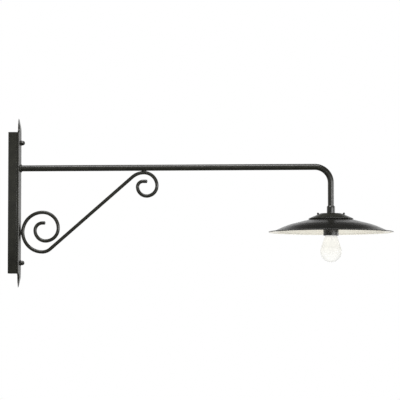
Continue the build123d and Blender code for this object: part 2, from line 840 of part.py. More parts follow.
pieces = {
    "wall_strap": wall_strap,
    "mounting_studs": mounting_studs,
    "wall_box": wall_box,
    "front_plate": front_plate,
    "sealing_washers": sealing_washers,
    "dome_nuts": dome_nuts,
    "arm_tube": arm_tube,
    "arm_weld": arm_weld,
    "scroll_brace": scroll_brace,
    "scroll_welds": scroll_welds,
    "tube_collar": tube_collar,
    "nipple": nipple,
    "nipple_nut": nipple_nut,
    "shade_cap": shade_cap,
    "cap_gasket": cap_gasket,
    "shade": shade,
    "shade_screws": shade_screws,
    "shade_nuts": shade_nuts,
    "lampholder_body": lampholder_body,
    "lampholder_core": lampholder_core,
    "screw_shell": screw_shell,
    "centre_contact": centre_contact,
    "lampholder_posts": lampholder_posts,
    "bulb_foot": bulb_foot,
    "bulb_insulator": bulb_insulator,
    "bulb_cap": bulb_cap,
    "bulb_glass": bulb_glass,
    "terminal_block": terminal_block,
    "terminal_tubes": terminal_tubes,
    "terminal_screws": terminal_screws,
    "block_screw": block_screw,
    "earth_stud": earth_stud,
    "earth_tag": earth_tag,
    "earth_nut": earth_nut,
    "tube_grommet": tube_grommet,
    "live_wire": live_wire,
    "neutral_wire": neutral_wire,
    "earth_wire": earth_wire,
}
os.makedirs("parts", exist_ok=True)
for name, piece in pieces.items():
    piece.part.label = name
    export_step(piece.part, f"parts/{name}.step")
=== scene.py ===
# %% [markdown]
# # An outdoor wall lamp on a scroll bracket
# The lamp is a blacksmith's bracket with an enamel reflector on its end: a tall box on the wall, a forged
# plate with lance ends, a long tube, a round bar rolled into two scrolls, and a wide shade with an opal
# bulb. The CAD model gives every size and place. This lesson loads it as a fixed frame and then makes each
# piece again with the surface that the real one has.

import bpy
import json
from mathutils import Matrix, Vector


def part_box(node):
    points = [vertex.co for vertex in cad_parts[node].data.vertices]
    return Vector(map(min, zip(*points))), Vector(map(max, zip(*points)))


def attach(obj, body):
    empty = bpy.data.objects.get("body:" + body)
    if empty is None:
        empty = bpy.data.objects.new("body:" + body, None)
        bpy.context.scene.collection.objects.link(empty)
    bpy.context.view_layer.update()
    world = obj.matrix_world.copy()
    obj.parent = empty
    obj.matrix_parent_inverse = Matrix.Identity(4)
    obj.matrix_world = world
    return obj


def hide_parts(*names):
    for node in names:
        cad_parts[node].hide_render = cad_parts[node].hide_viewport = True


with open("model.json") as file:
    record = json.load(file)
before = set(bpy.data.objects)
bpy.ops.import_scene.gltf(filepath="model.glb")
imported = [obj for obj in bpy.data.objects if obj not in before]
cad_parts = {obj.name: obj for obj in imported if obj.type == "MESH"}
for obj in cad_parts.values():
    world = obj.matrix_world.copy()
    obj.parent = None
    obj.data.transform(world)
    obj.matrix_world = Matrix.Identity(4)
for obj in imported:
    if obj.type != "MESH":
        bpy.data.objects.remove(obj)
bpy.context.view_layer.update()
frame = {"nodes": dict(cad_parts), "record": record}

# %% The other modules
import json
from cmath import exp, phase
from math import ceil, cos, pi, radians, sin, sqrt, tan

import bmesh
import bpy
from mathutils import Matrix, Vector, noise

MM = 0.001
scene = bpy.context.scene

# %% [markdown]
# ## The camera
# A catalogue photograph of a long lamp is taken from far away with a long lens, so that the near and the
# far rim of the shade look almost the same size. The camera stands six metres off, a little below the shade
# and out towards the lamp's end. It is made first, because every later choice is judged through it.

# %% Camera
camera_distance = 6.0
frame_width = 1.1262
camera_aim = Vector((0.5422, 0.0, 0.0062))
azimuth, elevation = radians(4.2), radians(-3.3)
back = Vector((sin(azimuth) * cos(elevation), -cos(azimuth) * cos(elevation), sin(elevation)))
right = Vector((cos(azimuth), sin(azimuth), 0.0))
up = back.cross(right)
lens = bpy.data.cameras.new("photo_camera")
lens.sensor_width = 36.0
lens.lens = lens.sensor_width * camera_distance / frame_width
camera = bpy.data.objects.new("photo_camera", lens)
camera.matrix_world = Matrix((right, up, back)).transposed().to_4x4()
camera.location = camera_aim + back * camera_distance
scene.collection.objects.link(camera)
scene.camera = camera
scene.view_settings.view_transform = "Standard"
print(f"lens {lens.lens:.0f} mm")

# %% [markdown]
# ## One function for nodes, one for colours
# Materials and Geometry Nodes are both node trees, so one small function adds a node to either of them. It
# sets the node's own settings, and each input is given a number or the socket that feeds it. Colours are
# written as the hex values that a paint chart gives, and shaders work in linear light, so a second function
# turns one into the other.

# %% Node and colour helpers
def fill(tree, made, inputs):
    """Give each named or numbered input its value, or link the socket that feeds it."""
    for name, value in inputs.items():
        if isinstance(value, bpy.types.NodeSocket):
            tree.links.new(value, made.inputs[name])
        else:
            made.inputs[name].default_value = value


def node(tree, kind, inputs=None, **settings):
    """Add a node, set its settings, and fill or link its inputs."""
    made = tree.nodes.new(kind)
    for name, value in settings.items():
        setattr(made, name, value)
    fill(tree, made, inputs or {})
    return made


def srgb(code):
    """Turn a hex colour such as #20201C into linear light."""
    parts = [int(code[start:start + 2], 16) / 255 for start in (1, 3, 5)]
    linear = [part / 12.92 if part <= 0.04045 else ((part + 0.055) / 1.055) ** 2.4 for part in parts]
    return (*linear, 1.0)


print("mid grey in linear light:", round(srgb("#808080")[0], 3))

# %% [markdown]
# ## Light and background
# The lamp hangs in front of a sheet of white paper in a dark room. The camera sees only the paper. A
# polished surface sees more: paper behind the lamp, and above and in front of it the dim room. That is what
# makes black paint look black. On the right it sees two bright screens with a gap between them, which draw
# the upright bands on the drop, the collar and the lampholder. All of this is made of fades along the axes
# of the ray. Light that falls on the lamp comes evenly from all round, close to the strength at which a
# white surface renders white.

# %% World
ambient_strength, room_strength, ceiling_strength = 0.96, 0.42, 0.06
paper_strength, screen_strength = 1.0, 9.0
# Each row holds an axis of the ray, the two places between which the fade runs, and its strength at each.
fade_rows = {
    "wall": ("Y", -0.10, 0.25, room_strength, paper_strength),
    "under": ("Z", 0.31, 0.50, 1.0, ceiling_strength),
    "screens": ("X", 0.10, 0.50, 0.0, screen_strength),
    "deep": ("Y", 0.30, 0.80, 1.0, 0.0),
    "gap": ("X", 0.93, 0.975, 1.0, 0.0),
    "top": ("Z", 0.06, 0.18, 1.0, 0.0),
    "foot": ("Z", -0.12, 0.0, 0.0, 1.0),
}
world = bpy.data.worlds.new("studio")
scene.world = world
world.use_nodes = True
sky = world.node_tree
sky.nodes.clear()
rays = node(sky, "ShaderNodeLightPath").outputs
toward = node(sky, "ShaderNodeSeparateXYZ", {0: node(sky, "ShaderNodeTexCoord").outputs["Generated"]}).outputs
fades = {}
for name, (axis, start, end, first, last) in fade_rows.items():
    span = {"Value": toward[axis], "From Min": start, "From Max": end, "To Min": first, "To Max": last}
    fades[name] = node(sky, "ShaderNodeMapRange", span).outputs["Result"]
screens = fades["screens"]
for name in ("deep", "gap", "top", "foot"):
    screens = node(sky, "ShaderNodeMath", {0: screens, 1: fades[name]}, operation="MULTIPLY").outputs[0]
wall_and_screens = {0: fades["wall"], 1: fades["under"], 2: screens}
mirrored = node(sky, "ShaderNodeMath", wall_and_screens, operation="MULTIPLY_ADD").outputs[0]
even, room, white = (
    node(sky, "ShaderNodeBackground", {"Color": srgb("#FFFFFF"), "Strength": strength}).outputs[0]
    for strength in (ambient_strength, mirrored, paper_strength)
)
lit = node(sky, "ShaderNodeMixShader", {0: rays["Is Glossy Ray"], 1: even, 2: room}).outputs[0]
direct = {0: rays["Is Camera Ray"], 1: rays["Is Transmission Ray"]}
clear = node(sky, "ShaderNodeMath", direct, operation="MAXIMUM").outputs[0]
shown = node(sky, "ShaderNodeMixShader", {0: clear, 1: lit, 2: white}).outputs[0]
node(sky, "ShaderNodeOutputWorld", {"Surface": shown})
print("world light", ambient_strength)

# %% [markdown]
# One wide softbox hangs over the arm. It draws the pale band along the arm's top.

# %% Softbox
softbox_length, softbox_depth, softbox_power = 1.6, 0.9, 46.0
softbox_place = (0.50, -0.70, 1.90)
softbox_light = bpy.data.lights.new("softbox", "AREA")
softbox_light.shape = "RECTANGLE"
softbox_light.size, softbox_light.size_y = softbox_length, softbox_depth
softbox_light.energy = softbox_power
softbox = bpy.data.objects.new("softbox", softbox_light)
softbox.location = softbox_place
scene.collection.objects.link(softbox)
print("softbox", softbox_power, "W")

# %% [markdown]
# A sheet of pale paper lies far below the lamp and throws light up into the shade. Polished surfaces mirror
# it dark, like the rest of the room. It has only an upper side, so the lamp can also be looked at from
# below.

# %% Floor
floor_height = -0.95
floor_plan = ((-4.0, -4.0), (5.0, -4.0), (5.0, 4.0), (-4.0, 4.0))
floor_shape = bpy.data.meshes.new("studio_floor")
floor_shape.from_pydata([(*corner, floor_height) for corner in floor_plan], [], [(0, 1, 2, 3)])
studio_floor = bpy.data.objects.new("studio_floor", floor_shape)
scene.collection.objects.link(studio_floor)
floor_paint = bpy.data.materials.new("floor_paper")
floor_paint.use_nodes = True
paper = floor_paint.node_tree
upper_side = paper.nodes["Principled BSDF"]
glossy = node(paper, "ShaderNodeLightPath").outputs["Is Glossy Ray"]
paper_tones = {0: glossy, 6: srgb("#E6E6E4"), 7: srgb("#4C4C4A")}
pale = node(paper, "ShaderNodeMix", paper_tones, data_type="RGBA").outputs[2]
paper.links.new(pale, upper_side.inputs["Base Color"])
upper_side.inputs["Roughness"].default_value = 0.9
from_below = node(paper, "ShaderNodeNewGeometry").outputs["Backfacing"]
see_through = node(paper, "ShaderNodeBsdfTransparent").outputs[0]
sides = {0: from_below, 1: upper_side.outputs[0], 2: see_through}
one_sided = node(paper, "ShaderNodeMixShader", sides).outputs[0]
paper.links.new(one_sided, paper.nodes["Material Output"].inputs["Surface"])
floor_shape.materials.append(floor_paint)
print("floor at", floor_height)

# %% [markdown]
# ## Finishes
# Every finish starts the same way: a material whose pattern is measured in Object coordinates, which here
# are metres in the lamp's own frame. Two patterns come back again and again. A mottle drifts between two
# close colours, and a grain lifts the surface a little. Both are given their real size in millimetres.

# %% Pattern helpers
def new_finish(name):
    """A fresh material, its tree, its shader and the Object coordinates."""
    material = bpy.data.materials.new(name)
    material.use_nodes = True
    tree = material.node_tree
    where = node(tree, "ShaderNodeTexCoord").outputs["Object"]
    return material, tree, tree.nodes["Principled BSDF"], where


def drift(tree, where, size, low, high):
    """A soft noise of about this size in millimetres, stretched between two values."""
    cloud = node(tree, "ShaderNodeTexNoise", {"Vector": where, "Scale": 1 / (size * MM), "Detail": 3.0})
    return node(
        tree, "ShaderNodeMapRange",
        {"Value": cloud.outputs["Fac"], "From Min": 0.3, "From Max": 0.7, "To Min": low, "To Max": high},
    ).outputs["Result"]


def mottle(tree, where, size, dark, light):
    """A colour that drifts between two hex colours in patches of this size in millimetres."""
    blend = {0: drift(tree, where, size, 0.0, 1.0), 6: srgb(dark), 7: srgb(light)}
    return node(tree, "ShaderNodeMix", blend, data_type="RGBA").outputs[2]


def grain(tree, where, size, depth, below=None):
    """A bump of this size and depth in millimetres, on top of another bump if one is given."""
    height = {"Height": drift(tree, where, size, 0.0, 1.0), "Distance": depth * MM, "Strength": 1.0}
    if below is not None:
        height["Normal"] = below
    return node(tree, "ShaderNodeBump", height).outputs["Normal"]


def connect(tree, shader, **sockets):
    """Fill the shader's inputs, with underscores for spaces in their names."""
    fill(tree, shader, {name.replace("_", " "): value for name, value in sockets.items()})


# %% [markdown]
# ### Satin black paint on wrought iron
# The bracket is brushed or sprayed with a warm black paint that is neither dull nor glossy. Under it the
# iron is slightly uneven, so a long highlight wavers a little. The eye reads that as metal and not as
# plastic.

# %% Iron paint
iron_paint, tree, shader, where = new_finish("satin_black_on_iron")
uneven = grain(tree, where, 14.0, 0.010)
connect(
    tree, shader,
    Base_Color=mottle(tree, where, 22.0, "#1C1C17", "#26261F"),
    Roughness=drift(tree, where, 9.0, 0.24, 0.33),
    Specular_IOR_Level=0.50,
    Normal=grain(tree, where, 1.6, 0.0008, uneven),
)
print(iron_paint.name)

# %% [markdown]
# ### Vitreous enamel, black outside and ivory inside
# Enamel is glass that is fused to steel at red heat. It flows while it melts, so it is glossy, with a faint
# orange peel and softly rounded edges. The ivory coat inside throws the light down.

# %% Enamels
black_enamel, tree, shader, where = new_finish("black_vitreous_enamel")
connect(
    tree, shader,
    Base_Color=mottle(tree, where, 30.0, "#121210", "#191815"),
    Roughness=drift(tree, where, 12.0, 0.22, 0.29),
    Specular_IOR_Level=0.50,
    Normal=grain(tree, where, 7.0, 0.02),
)
ivory_enamel, tree, shader, where = new_finish("ivory_vitreous_enamel")
connect(
    tree, shader,
    Base_Color=mottle(tree, where, 26.0, "#F0EBDE", "#F6F3E8"),
    Roughness=drift(tree, where, 12.0, 0.18, 0.28),
    Normal=grain(tree, where, 7.0, 0.02),
)
print(black_enamel.name, ivory_enamel.name)

# %% [markdown]
# ### Opal glass
# The bulb is coated white inside, so its glass looks white all through. The outside is etched to a satin,
# so lamps near it show only as a soft glow and never as a hard spot. A faint glow that grows with height is
# painted light: it brightens the neck, which the shade leaves grey, in place of light scattered inside the
# glass. Where the wall is seen at a slant, the colour is painted greyer. This painted shade makes the
# outline a little greyer than the middle.

# %% Opal glass
opal_glass, tree, shader, where = new_finish("opal_glass")
glass_foot, glass_top = (corner.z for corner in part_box("bulb_glass"))
# Painted light: an emitted glow that rises with height brightens the neck where the shade leaves it grey.
clear_foot, painted_glow_strength = 0.015, 0.22
# Painted shade: the base colour turns greyer where the wall is seen at a slant, greying the outline.
painted_edge_start, painted_edge_end = 0.30, 0.95
level = node(tree, "ShaderNodeSeparateXYZ", {0: where}).outputs["Z"]
climb = {"Value": level, "From Min": glass_foot + clear_foot, "From Max": glass_top}
painted_glow_rise = node(tree, "ShaderNodeMapRange", climb).outputs["Result"]
painted_glow_tones = {0: painted_glow_rise, 6: srgb("#000000"), 7: srgb("#FBFCFF")}
facing = node(tree, "ShaderNodeLayerWeight", {"Blend": 0.5}).outputs["Facing"]
painted_edge_span = {"Value": facing, "From Min": painted_edge_start, "From Max": painted_edge_end}
painted_edge_shade = node(tree, "ShaderNodeMapRange", painted_edge_span).outputs["Result"]
opal_and_edge_shade_tones = {0: painted_edge_shade, 6: mottle(tree, where, 40.0, "#FBFBF9", "#FEFEFC"), 7: srgb("#E9E9E7")}
connect(
    tree, shader,
    Base_Color=node(tree, "ShaderNodeMix", opal_and_edge_shade_tones, data_type="RGBA").outputs[2],
    Roughness=drift(tree, where, 20.0, 0.32, 0.38),
    IOR=1.52,
    Specular_IOR_Level=0.10,
    # The emission here is the painted glow towards the neck.
    Emission_Color=node(tree, "ShaderNodeMix", painted_glow_tones, data_type="RGBA").outputs[2],
    Emission_Strength=painted_glow_strength,
)
print(opal_glass.name)

# %% [markdown]
# ### The small finishes
# Behind the paint there are the fitter's materials: zinc on the strap and screws, brass contacts, a
# nickelled bulb cap, moulded phenolic, glazed porcelain, rubber seals and wire insulation.

# %% Metals inside
def metal(name, dark, light, rough, patch, scratch, spread=0.06, depth=0.02):
    """A bare or plated metal: patch, scratch and depth are in millimetres."""
    material, tree, shader, where = new_finish(name)
    connect(
        tree, shader,
        Base_Color=mottle(tree, where, patch, dark, light),
        Metallic=1.0,
        Roughness=drift(tree, where, patch, rough - spread, rough + spread),
        Normal=grain(tree, where, scratch, depth),
    )
    return material


zinc_plate = metal("zinc_plated_steel", "#A9ACAB", "#C4C6C3", 0.38, 6.0, 0.8)
turned_brass = metal("turned_brass", "#B48F47", "#CDA860", 0.28, 5.0, 0.6)
nickel_plate = metal("nickel_plated_brass", "#BDBBB4", "#D2D0C9", 0.24, 4.0, 0.8)
solder = metal("soft_solder", "#8D8D89", "#ACACA7", 0.42, 2.0, 0.5)
print("metals:", zinc_plate.name, turned_brass.name, nickel_plate.name, solder.name)


# %% Insulators inside
def moulded(name, dark, light, rough, patch, depth, spread=0.05):
    """A moulded, glazed or rubbery insulator: patch and depth are in millimetres."""
    material, tree, shader, where = new_finish(name)
    connect(
        tree, shader,
        Base_Color=mottle(tree, where, patch, dark, light),
        Roughness=drift(tree, where, patch, rough - spread, rough + spread),
        Normal=grain(tree, where, patch / 4, depth),
    )
    return material


phenolic = moulded("moulded_phenolic", "#161513", "#201E1B", 0.24, 9.0, 0.03)
porcelain = moulded("glazed_porcelain", "#E6E1D4", "#F0ECE2", 0.16, 8.0, 0.02)
vitrite = moulded("black_glass_insulator", "#0B0B0D", "#141416", 0.12, 4.0, 0.01)
rubber = moulded("sealing_rubber", "#171716", "#222221", 0.78, 3.0, 0.04)
polyamide = moulded("terminal_polyamide", "#D6D2C5", "#E2DED3", 0.45, 5.0, 0.02)
brown_pvc = moulded("brown_wire_insulation", "#4A2C18", "#5C3820", 0.40, 4.0, 0.01)
blue_pvc = moulded("blue_wire_insulation", "#174C8C", "#1F5FA8", 0.40, 4.0, 0.01)
green_pvc = moulded("green_wire_insulation", "#2B7A33", "#3A9442", 0.40, 4.0, 0.01)
print("insulators:", phenolic.name, porcelain.name, rubber.name)

# %% [markdown]
# ## Putting a piece in the CAD node's place
# A finished piece rides on the body of the node that it replaces, and one lookup in the record gives that
# body. Its object stays at the origin, because its place is in its mesh.

# %% Placing helper
body_of = {name: body for body, names in frame["record"]["behaviour"]["bodies"].items() for name in names}


def new_piece(name, mesh):
    """Link a mesh to the scene as an object at the origin."""
    piece = bpy.data.objects.new(name, mesh)
    scene.collection.objects.link(piece)
    return piece


def stand_for(title, mesh, name):
    """Make a mesh into a piece that takes the place of a CAD node."""
    piece = new_piece(title, mesh)
    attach(piece, body_of[name])
    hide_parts(name)
    print(f"{piece.name}: {len(piece.data.polygons)} faces for {name}")


def smooth(mesh, angle=32.0):
    """Shade a mesh smooth, but keep edges sharper than this angle."""
    mesh.shade_smooth()
    mesh.set_sharp_from_angle(angle=radians(angle))


# %% [markdown]
# ## Plain metal parts with broken edges
# No real edge is perfectly sharp: paint and tumbling round it, and the thin bright line that it catches
# tells the eye how big the part is. The CAD shapes of the sheet and bar parts are right, so a copy of each
# is merged, its flat faces are joined up, and a small bevel breaks its edges.

# %% Copies with broken edges
def evaluated(piece, name):
    """The piece's mesh with its modifiers applied, as a plain mesh, and the piece removed."""
    graph = bpy.context.evaluated_depsgraph_get()
    mesh = bpy.data.meshes.new_from_object(piece.evaluated_get(graph), depsgraph=graph)
    mesh.name = name
    bpy.data.objects.remove(piece)
    return mesh


def merged_copy(name):
    """A copy of a CAD node's mesh with its loose triangles sewn together."""
    mesh = frame["nodes"][name].data.copy()
    shape = bmesh.new()
    shape.from_mesh(mesh)
    bmesh.ops.remove_doubles(shape, verts=shape.verts, dist=0.002 * MM)
    bmesh.ops.dissolve_limit(shape, angle_limit=radians(0.5), verts=shape.verts, edges=shape.edges)
    shape.to_mesh(mesh)
    shape.free()
    return mesh


def broken_edges(name, finish, edge):
    """Copy a CAD node, round its sharp edges by this many millimetres and paint it."""
    draft = new_piece("draft", merged_copy(name))
    rounding = draft.modifiers.new("edge", "BEVEL")
    rounding.width = edge * MM
    rounding.segments = 2
    rounding.limit_method = "ANGLE"
    rounding.angle_limit = radians(40)
    mesh = evaluated(draft, name + "_dressed")
    mesh.materials.clear()
    mesh.materials.append(finish)
    smooth(mesh)
    stand_for(name + "_dressed", mesh, name)


for name, finish, edge in (
    ("wall_box", iron_paint, 0.3),
    ("wall_strap", zinc_plate, 0.5),
    ("terminal_block", polyamide, 0.5),
    ("block_screw", zinc_plate, 0.2),
    ("earth_tag", turned_brass, 0.1),
    ("earth_nut", zinc_plate, 0.2),
    ("centre_contact", turned_brass, 0.2),
):
    broken_edges(name, finish, edge)

# %% [markdown]
# ## The forged plate
# A smith draws out a flat bar, ridges it and works its ends to lances, and the hammer leaves shallow dents
# all over it. A voxel remesh gives the plate an even skin of small faces, and each point then sinks by up
# to a fraction of a millimetre. Points only ever sink, so the plate stays inside its CAD size.

# %% Forged plate
voxel = 0.9
dent_size, dent_depth = 13.0, 0.30
draft = new_piece("draft", merged_copy("front_plate"))
skin = draft.modifiers.new("skin", "REMESH")
skin.mode = "VOXEL"
skin.voxel_size = voxel * MM
soften = draft.modifiers.new("soften", "SMOOTH")
soften.iterations = 3
plate_mesh = evaluated(draft, "forged_plate")
for vertex, normal in zip(plate_mesh.vertices, [item.vector.copy() for item in plate_mesh.vertex_normals]):
    dent = noise.noise(vertex.co / (dent_size * MM)) * 0.5 + 0.5
    vertex.co -= normal * dent * dent_depth * MM
plate_mesh.materials.clear()
plate_mesh.materials.append(iron_paint)
plate_mesh.shade_smooth()
stand_for("forged_plate", plate_mesh, "front_plate")

# %% [markdown]
# ## Lines and arcs
# Turned parts need an outline and bent bars need a path. Both are flat lines, and complex numbers make flat
# geometry short: a point is x + 1j*z, and multiplying by exp(1j*angle) turns it.

# %% Line helpers
def spots(*pairs):
    """Points of an outline from pairs of radius and height."""
    return [complex(*pair) for pair in pairs]


def arc_points(middle, spoke, start, end, steps):
    """Points round an arc, both ends included: the spoke from its middle turns from start to end."""
    return [middle + spoke * exp(1j * (start + (end - start) * part / steps)) for part in range(steps + 1)]


def rounded(corners, radii, closed=True, step=radians(8)):
    """Round each corner of a line with an arc of its own radius, which is 0 for a sharp one."""
    line = []
    count = len(corners)
    for number, (corner, radius) in enumerate(zip(corners, radii)):
        if radius == 0 or (not closed and number in (0, count - 1)):
            line.append(corner)
            continue
        into = corner - corners[number - 1]
        out = corners[(number + 1) % count] - corner
        into, out = into / abs(into), out / abs(out)
        turn = phase(out / into)
        side = 1j if turn > 0 else -1j
        middle = corner - into * radius * tan(abs(turn) / 2) + into * side * radius
        steps = max(2, ceil(abs(turn) / step))
        line += arc_points(middle, -into * side * radius, 0.0, turn, steps)
    return line


def arc_on(line, heading, radius, turn, gap=2.0):
    """Go on from the line's end round an arc, left if turn is positive, and return the new heading."""
    side = 1j if turn > 0 else -1j
    middle = line[-1] + heading * side * radius
    angle = radians(turn)
    steps = max(4, ceil(abs(angle) * radius / gap))
    line += arc_points(middle, line[-1] - middle, 0.0, angle, steps)[1:]
    return heading * exp(1j * angle)


# %% [markdown]
# ## Bars and tubes along a path
# The arm is a tube bent once, and the brace is one round bar rolled into a scroll at each end. A Geometry
# Nodes tree sweeps a circle along a path. Near each end the radius can shrink like a ball, which gives the
# bar the rounded end of a forged scroll, and a slow noise makes it as uneven as a bar that was bent by
# hand.

# %% Tree that sweeps a bar
def new_tree(name, inputs):
    """An empty Geometry Nodes tree with named inputs, and its input node."""
    tree = bpy.data.node_groups.new(name, "GeometryNodeTree")
    for label, kind in inputs.items():
        tree.interface.new_socket(label, in_out="INPUT", socket_type=kind)
    tree.interface.new_socket("Geometry", in_out="OUTPUT", socket_type="NodeSocketGeometry")
    return tree, node(tree, "NodeGroupInput").outputs


def end_tree(tree, geometry, finish):
    """Make instances real, set the material and send the result out."""
    real = node(tree, "GeometryNodeRealizeInstances", {"Geometry": geometry})
    painted = node(tree, "GeometryNodeSetMaterial", {"Geometry": real.outputs[0], "Material": finish})
    node(tree, "NodeGroupOutput", {"Geometry": painted.outputs[0]})


blunt_tip, dents_per_metre = 0.12, 60.0
bar_tree, given = new_tree("bar_along_path", {
    "Path": "NodeSocketObject", "Radius": "NodeSocketFloat", "Sides": "NodeSocketInt",
    "Ring Gap": "NodeSocketFloat", "Round End": "NodeSocketFloat", "Unevenness": "NodeSocketFloat",
    "Closed": "NodeSocketBool", "Finish": "NodeSocketMaterial",
})
path = node(bar_tree, "GeometryNodeObjectInfo", {"Object": given["Path"]}).outputs["Geometry"]
even_steps = {"Curve": path, "Length": given["Ring Gap"]}
path = node(bar_tree, "GeometryNodeResampleCurve", even_steps, mode="LENGTH").outputs[0]
along = node(bar_tree, "GeometryNodeSplineParameter").outputs["Length"]
whole = node(bar_tree, "GeometryNodeSplineLength").outputs["Length"]
left_over = node(bar_tree, "ShaderNodeMath", {0: whole, 1: along}, operation="SUBTRACT").outputs[0]
to_end = node(bar_tree, "ShaderNodeMath", {0: along, 1: left_over}, operation="MINIMUM").outputs[0]
end_share = {0: to_end, 1: given["Round End"]}
share = node(bar_tree, "ShaderNodeMath", end_share, operation="DIVIDE", use_clamp=True).outputs[0]
lack = node(bar_tree, "ShaderNodeMath", {0: 1.0, 1: share}, operation="SUBTRACT").outputs[0]
square = node(bar_tree, "ShaderNodeMath", {0: lack, 1: lack}, operation="MULTIPLY").outputs[0]
rest = node(bar_tree, "ShaderNodeMath", {0: 1.0, 1: square}, operation="SUBTRACT").outputs[0]
ball = node(bar_tree, "ShaderNodeMath", {0: rest}, operation="SQRT").outputs[0]
width = node(bar_tree, "ShaderNodeMath", {0: ball, 1: blunt_tip}, operation="MAXIMUM").outputs[0]
section = {"Resolution": given["Sides"], "Radius": given["Radius"]}
circle = node(bar_tree, "GeometryNodeCurvePrimitiveCircle", section).outputs["Curve"]
bar = node(
    bar_tree, "GeometryNodeCurveToMesh",
    {"Curve": path, "Profile Curve": circle, "Scale": width, "Fill Caps": given["Closed"]},
).outputs[0]
cloud = node(bar_tree, "ShaderNodeTexNoise", {"Scale": dents_per_metre, "Detail": 2.0}).outputs["Fac"]
sink = node(bar_tree, "ShaderNodeMath", {0: cloud, 1: given["Unevenness"]}, operation="MULTIPLY").outputs[0]
outward = node(bar_tree, "GeometryNodeInputNormal").outputs[0]
push = node(bar_tree, "ShaderNodeVectorMath", {0: outward, "Scale": sink}, operation="SCALE").outputs[0]
inward = node(bar_tree, "ShaderNodeVectorMath", {0: (0, 0, 0), 1: push}, operation="SUBTRACT").outputs[0]
bar = node(bar_tree, "GeometryNodeSetPosition", {"Geometry": bar, "Offset": inward}).outputs[0]
bar = node(bar_tree, "GeometryNodeSetShadeSmooth", {"Geometry": bar}).outputs[0]
end_tree(bar_tree, bar, given["Finish"])
print("bar tree has", len(bar_tree.nodes), "nodes")


# %% Running a tree
def grow(tree, name, wall=0.0, **values):
    """Run a tree with these inputs and return the result as a plain mesh, hollowed if a wall is given."""
    draft = new_piece("draft", bpy.data.meshes.new("draft"))
    growing = draft.modifiers.new("grow", "NODES")
    growing.node_group = tree
    for item in tree.interface.items_tree:
        key = item.name.replace(" ", "_")
        if item.in_out == "INPUT" and key in values:
            growing[item.identifier] = values[key]
    if wall:
        hollow = draft.modifiers.new("wall", "SOLIDIFY")
        hollow.thickness = wall
        hollow.offset = -1.0
    return evaluated(draft, name)


def path_object(line):
    """A curve object in the plane of the bracket, through points in millimetres."""
    curve = bpy.data.curves.new("path", "CURVE")
    curve.dimensions = "3D"
    spline = curve.splines.new("POLY")
    spline.points.add(len(line) - 1)
    for point, place in zip(spline.points, line):
        point.co = (place.real * MM, 0.0, place.imag * MM, 1.0)
    made = bpy.data.objects.new("path", curve)
    scene.collection.objects.link(made)
    return made


# %% Arm tube
arm_height, lamp_reach = 98.0, 910.0
arm_radius, arm_wall, arm_bend, square_end = 8.6, 2.0, 45.0, 0.0001
tube_start, tube_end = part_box("arm_tube")[0].x / MM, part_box("arm_tube")[0].z / MM
corner = complex(lamp_reach, arm_height)
arm_line = rounded(
    [complex(tube_start, arm_height), corner, complex(lamp_reach, tube_end)],
    [0, arm_bend, 0], closed=False, step=radians(2.5),
)
arm_path = path_object(arm_line)
arm_mesh = grow(
    bar_tree, "arm_tube_dressed", wall=arm_wall * MM, Path=arm_path, Radius=arm_radius * MM, Sides=48,
    Ring_Gap=2.0 * MM, Round_End=square_end * MM, Unevenness=0.0, Closed=False, Finish=iron_paint,
)
bpy.data.objects.remove(arm_path)
smooth(arm_mesh)
stand_for("arm_tube_dressed", arm_mesh, "arm_tube")

# %% Scroll brace
bar_radius, brace_angle = 5.0, 41.0
brace_foot, brace_bottom = 95.3, -139.0
foot_bend, head_bend, stay_length = 34.0, 50.0, 308.65
large_start, large_scroll, large_tail = 56.0, (45.0, 36.0, 30.0, 21.0), 9.0
small_scroll, small_tail = (37.0, 29.0, 26.0, 15.5), 13.0
forward = [complex(brace_foot, brace_bottom)]
heading = arc_on(forward, 1, foot_bend, brace_angle)
forward.append(forward[-1] + heading * stay_length)
heading = arc_on(forward, heading, head_bend, -brace_angle)
arm_weld_at = forward[-1]
for radius in small_scroll:
    heading = arc_on(forward, heading, radius, -90)
forward.append(forward[-1] + heading * small_tail)
backward = [forward[0]]
heading = arc_on(backward, -1, large_start, -180)
for radius in large_scroll:
    heading = arc_on(backward, heading, radius, -90)
backward.append(backward[-1] + heading * large_tail)
brace_path = path_object(backward[::-1] + forward[1:])
brace_mesh = grow(
    bar_tree, "scroll_brace_dressed", Path=brace_path, Radius=bar_radius * MM, Sides=32, Ring_Gap=1.2 * MM,
    Round_End=3.0 * MM, Unevenness=0.25 * MM, Closed=True, Finish=iron_paint,
)
bpy.data.objects.remove(brace_path)
smooth(brace_mesh)
stand_for("scroll_brace_dressed", brace_mesh, "scroll_brace")
print("the brace meets the arm at", arm_weld_at)

# %% [markdown]
# ## Turned and spun parts
# The collar, cap, shade, lampholder and bulb are all round about the drop of the arm. Spinning a closed
# outline makes each of them, with its wall thickness. A shape rule can pull the radius in, and that is all
# that a thread or a hexagon needs.

# %% Lathe
def solid_mesh(name, points, faces, finishes, angle=32.0, finish_of=None):
    """A closed mesh, sewn where its points meet, with its faces outward and edges kept past this angle."""
    mesh = bpy.data.meshes.new(name)
    mesh.from_pydata(points, [], faces)
    for finish in finishes:
        mesh.materials.append(finish)
    if finish_of is not None:
        for number, face in enumerate(mesh.polygons):
            face.material_index = finish_of[number % len(finish_of)]
    shape = bmesh.new()
    shape.from_mesh(mesh)
    bmesh.ops.remove_doubles(shape, verts=shape.verts, dist=0.001 * MM)
    bmesh.ops.dissolve_degenerate(shape, edges=shape.edges, dist=0.0005 * MM)
    bmesh.ops.recalc_face_normals(shape, faces=shape.faces)
    shape.to_mesh(mesh)
    shape.free()
    smooth(mesh, angle)
    return mesh


def ring_faces(rings, size, first=0, closed=True):
    """Faces that join each ring of points to the next one and, if closed, the last ring to the first."""
    faces = []
    for step in range(rings if closed else rings - 1):
        here, there = first + step * size, first + (step + 1) % rings * size
        for number in range(size):
            after = (number + 1) % size
            faces.append((here + number, there + number, there + after, here + after))
    return faces


